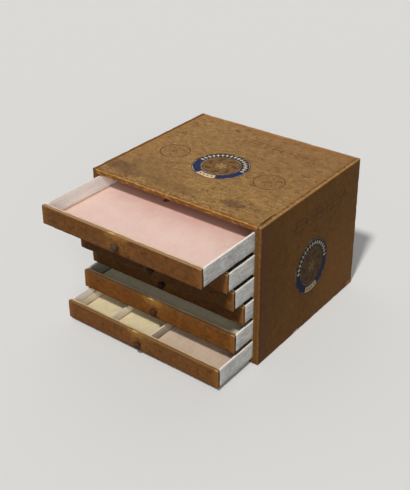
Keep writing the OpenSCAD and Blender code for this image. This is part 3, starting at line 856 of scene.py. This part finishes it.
# ---- Round labels ----
# Printed and varnished paper seals glued to the top and the right side: a navy ring, nearly black behind cream
# lozenges, and a cream tab with four small gold hexagons, around a gold-brown centre with a wreath and a flower.
def dash_row_tree(name):
    """A Geometry Nodes tree: flat little prisms in a row along an arc, each turned to it."""
    made = bpy.data.node_groups.new(name, "GeometryNodeTree")
    sockets = {}
    for key, kind in (("Radius", FLOAT), ("Start", FLOAT), ("Sweep", FLOAT), ("Count", "NodeSocketInt"),
                      ("Sides", "NodeSocketInt"), ("Long", FLOAT), ("Wide", FLOAT), ("Thickness", FLOAT),
                      ("Finish", "NodeSocketMaterial")):
        sockets[key] = made.interface.new_socket(key, in_out="INPUT", socket_type=kind).identifier
    made.interface.new_socket("Geometry", in_out="OUTPUT", socket_type="NodeSocketGeometry")
    given = add(made, "NodeGroupInput")
    arc = add(made, "GeometryNodeCurveArc", {"Radius": given["Radius"], "Start Angle": given["Start"],
                                             "Sweep Angle": given["Sweep"], "Resolution": 64}, mode="RADIUS")
    along = add(made, "GeometryNodeCurveToPoints", {0: arc["Curve"], "Count": given["Count"]}, mode="COUNT")
    prism = add(made, "GeometryNodeMeshCylinder",
                {"Vertices": given["Sides"], "Radius": 1, "Depth": given["Thickness"]}, fill_type="NGON")
    size = add(made, "ShaderNodeCombineXYZ", {0: given["Wide"], 1: given["Long"], 2: 1})[0]
    prism = add(made, "GeometryNodeTransform", {0: prism["Mesh"], "Scale": size})[0]
    x, y, _ = add(made, "ShaderNodeSeparateXYZ", {0: add(made, "GeometryNodeInputPosition")[0]})
    turn = maths(made, "ADD", maths(made, "ARCTAN2", y, x), pi / 2)
    facing = add(made, "ShaderNodeCombineXYZ", {2: turn})[0]
    values = {"Points": along["Points"], "Instance": prism, "Rotation": facing}
    row = add(made, "GeometryNodeInstanceOnPoints", values)[0]
    row = add(made, "GeometryNodeRealizeInstances", {0: row})[0]
    row = add(made, "GeometryNodeSetMaterial", {"Geometry": row, "Material": given["Finish"]})[0]
    add(made, "NodeGroupOutput", {0: row})
    return made, sockets


dash_row, dash_sockets = dash_row_tree("label_dash_row")

tree, given, result = new_group("wreath_print", {"Across": 0.0, "Along": 0.0}, {"Dark": FLOAT, "Light": FLOAT})
radius, turn = around_middle(tree, given)
leaves = maths(tree, "SINE", times_plus(tree, radius, 0.22, times(tree, turn, 7)))
leaves = times(tree, rise(tree, leaves, -0.1, 0.5), line_at(tree, radius, 23, 9.5))
rim = times(tree, rise(tree, radius, 28.5, 32.5), 0.7)
heart = times_plus(tree, maths(tree, "ABSOLUTE", maths(tree, "COSINE", times(tree, turn, 3))), -9, radius)
dark = largest(tree, leaves, rim, line_at(tree, heart, 4.5, 2))
fill(tree, result, {"Dark": dark, "Light": fall(tree, heart, 2.2, 3.6)})

NAVY, GOLD, CREAM, LINE, TAB, NIGHT = range(6)
ink_colours = {"navy": (36, 44, 82), "gold": (126, 93, 48), "cream": (216, 202, 180), "line": (196, 184, 162),
               "tab": (226, 196, 154), "night": (24, 21, 34)}


def label_inks(name, middle, board_axes, dull):
    """The inks of one label, in the order of their numbers. Dull darkens all its inks, the cream and tab less."""
    inks = []
    for ink, (ink_name, tint) in enumerate(ink_colours.items()):
        made, tree, shader = new_material(f"{name}_{ink_name}", 0.5, 0.03)
        point = place_mm(tree, 15)
        tint = dimmed(sqrt(dull) if ink in (CREAM, TAB) else dull, colour(*tint))
        base = mixed(tree, rise(tree, cloudy(tree, point, 4, 4, 0.65), 0.35, 0.7), dimmed(0.6, tint), tint)
        if ink == GOLD:
            place = split_place(tree)
            across, along = (less(tree, place[i], middle[i] / mm) for i in board_axes)
            wreath = use(tree, "wreath_print", Across=across, Along=along)
            base = mixed(tree, times(tree, wreath["Dark"], 0.8), base, dimmed(dull, colour(74, 46, 24)))
            base = mixed(tree, times(tree, wreath["Light"], 0.6), base, dimmed(dull, colour(164, 130, 82)))
        if ink == LINE:
            faded = rise(tree, cloudy(tree, place_mm(tree, 25), 14, 3), 0.42, 0.58)
            base = mixed(tree, faded, base, dimmed(dull, colour(104, 78, 48)))
        scratches = rise(tree, cloudy(tree, place_mm(tree, 5, (1, 0.25, 1)), 1.2, 4, 0.7), 0.66, 0.72)
        base = mixed(tree, times(tree, scratches, 0.6), base, colour(168, 146, 116))
        sheen = times_plus(tree, scratches, 0.2, 0.4)
        coat(tree, shader, base, cloudy(tree, point, 2.5, 3), 0.15, 0.4, Roughness=sheen)
        inks.append(made)
    return inks


# Each ring is its outer radius and its ink, and each row of prisms is its radius, start and sweep in degrees, count,
# sides, half length, half width and height over the board, which is that of the waved paper where it is 0.
label_rings_mm = [(33.2, GOLD), (34, LINE), (35, GOLD), (47.4, NAVY), (48.4, LINE), (50, GOLD)]
label_rows_mm = [(41.2, 4, 172, 17, 4, 4.9, 2.4, 0), (41.2, 9.4, 161.3, 16, 8, 0.9, 0.9, 0),
                 (42.4, -105, 30, 4, 6, 1.7, 2, 0.66)]
label_edge, label_lift, label_foot = 50 * mm, 0.3 * mm, 0.02 * mm
label_steps = 120
tab_radii_mm, tab_levels_mm = (37.4, 42.2, 47.6), (0.1, 0.62)
tab_half_turn, tab_steps = radians(23), 14
prism_thickness = 0.16 * mm


def round_label(node, middle, out_axis, dull):
    """A seal around middle. Its own u and v lie on the board and w stands out from it."""
    board_axes = [axis for axis in range(3) if axis != out_axis]

    def set_down(u, v, w):
        place = Vector(middle)
        for axis, step in zip(board_axes + [out_axis], (u, v, w)):
            place[axis] += step
        return place

    def waved(u, v):
        lift = 0.25 * max(0, noise.noise((u * 40, v * 40, out_axis))) * hypot(u, v) / label_edge
        return label_lift + lift * mm

    verts, faces, marks = [set_down(0, 0, label_lift)], [], []
    for radius_mm, _ in label_rings_mm:
        for c, s in round_steps(label_steps):
            u, v = radius_mm * mm * c, radius_mm * mm * s
            verts.append(set_down(u, v, waved(u, v)))
    verts += [set_down(label_edge * c, label_edge * s, label_foot) for c, s in round_steps(label_steps)]
    ends = [(i, (i + 1) % label_steps) for i in range(label_steps)]
    for ring, (_, ink) in enumerate(label_rings_mm):
        outer = 1 + ring * label_steps
        inner = outer - label_steps
        for i, j in ends:
            faces.append((0, outer + i, outer + j) if ring == 0 else (inner + i, outer + i, outer + j, inner + j))
            marks.append(NIGHT if ink == NAVY and 3 <= i < label_steps / 2 - 3 else ink)
    foot = 1 + len(label_rings_mm) * label_steps
    rim = foot - label_steps
    faces += [(rim + i, foot + i, foot + j, rim + j) for i, j in ends]
    faces.append(tuple(foot + i for i in reversed(range(label_steps))))
    marks += [LINE] * (label_steps + 1)
    faces += sheet_faces(tab_steps, len(tab_radii_mm) - 1, len(verts))
    marks += [TAB] * (len(faces) - len(marks))
    for level_mm in tab_levels_mm:
        for radius_mm in tab_radii_mm:
            for i in range(tab_steps + 1):
                angle = -pi / 2 + tab_half_turn * (2 * i / tab_steps - 1)
                radius = radius_mm * mm * (1 + 0.006 * noise.noise((angle * 9, radius_mm, out_axis)))
                verts.append(set_down(radius * cos(angle), radius * sin(angle), level_mm * mm))
    mesh = bpy.data.meshes.new(f"{node}_seal")
    mesh.from_pydata(verts, [], faces)
    mesh.polygons.foreach_set("material_index", marks)
    seal = bmesh.new()
    seal.from_mesh(mesh)
    faced_out(seal, mesh)
    inks = label_inks(node, middle, board_axes, dull)
    dressed(f"{node}_seal", mesh, node, "case", "label_paper", *inks, flat_from=40)

    joined = bmesh.new()
    for radius_mm, start, sweep, count, sides, long_mm, wide_mm, height_mm in label_rows_mm:
        holder = new_object(f"{node}_row", bpy.data.meshes.new(f"{node}_row"))
        modifier = holder.modifiers.new("row", "NODES")
        modifier.node_group = dash_row
        values = {"Radius": radius_mm * mm, "Start": radians(start), "Sweep": radians(sweep), "Count": count,
                  "Sides": sides, "Long": long_mm * mm, "Wide": wide_mm * mm, "Thickness": prism_thickness,
                  "Finish": inks[GOLD] if height_mm else inks[CREAM]}
        for key, value in values.items():
            modifier[dash_sockets[key]] = value
        bpy.context.view_layer.update()
        row = bpy.data.meshes.new_from_object(holder.evaluated_get(bpy.context.evaluated_depsgraph_get()))
        for corner in row.vertices:
            u, v, w = corner.co
            corner.co = set_down(u, v, w + (height_mm * mm or waved(u, v)))
        bpy.data.objects.remove(holder)
        done = len(joined.faces)
        joined.from_mesh(row)
        joined.faces.ensure_lookup_table()
        for face in joined.faces[done:]:
            face.material_index = 1 if height_mm else 0
    mesh = bpy.data.meshes.new(f"{node}_lozenges")
    faced_out(joined, mesh)
    made = new_object(f"{node}_lozenges", mesh, inks[CREAM], inks[GOLD])
    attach(made, "case")


for node, out_axis, dull in (("label_top", 2, 1), ("label_side", 0, 0.45)):
    low, high = box_of(node)
    middle = (low + high) / 2
    middle[out_axis] = low[out_axis]
    round_label(node, middle, out_axis, dull)
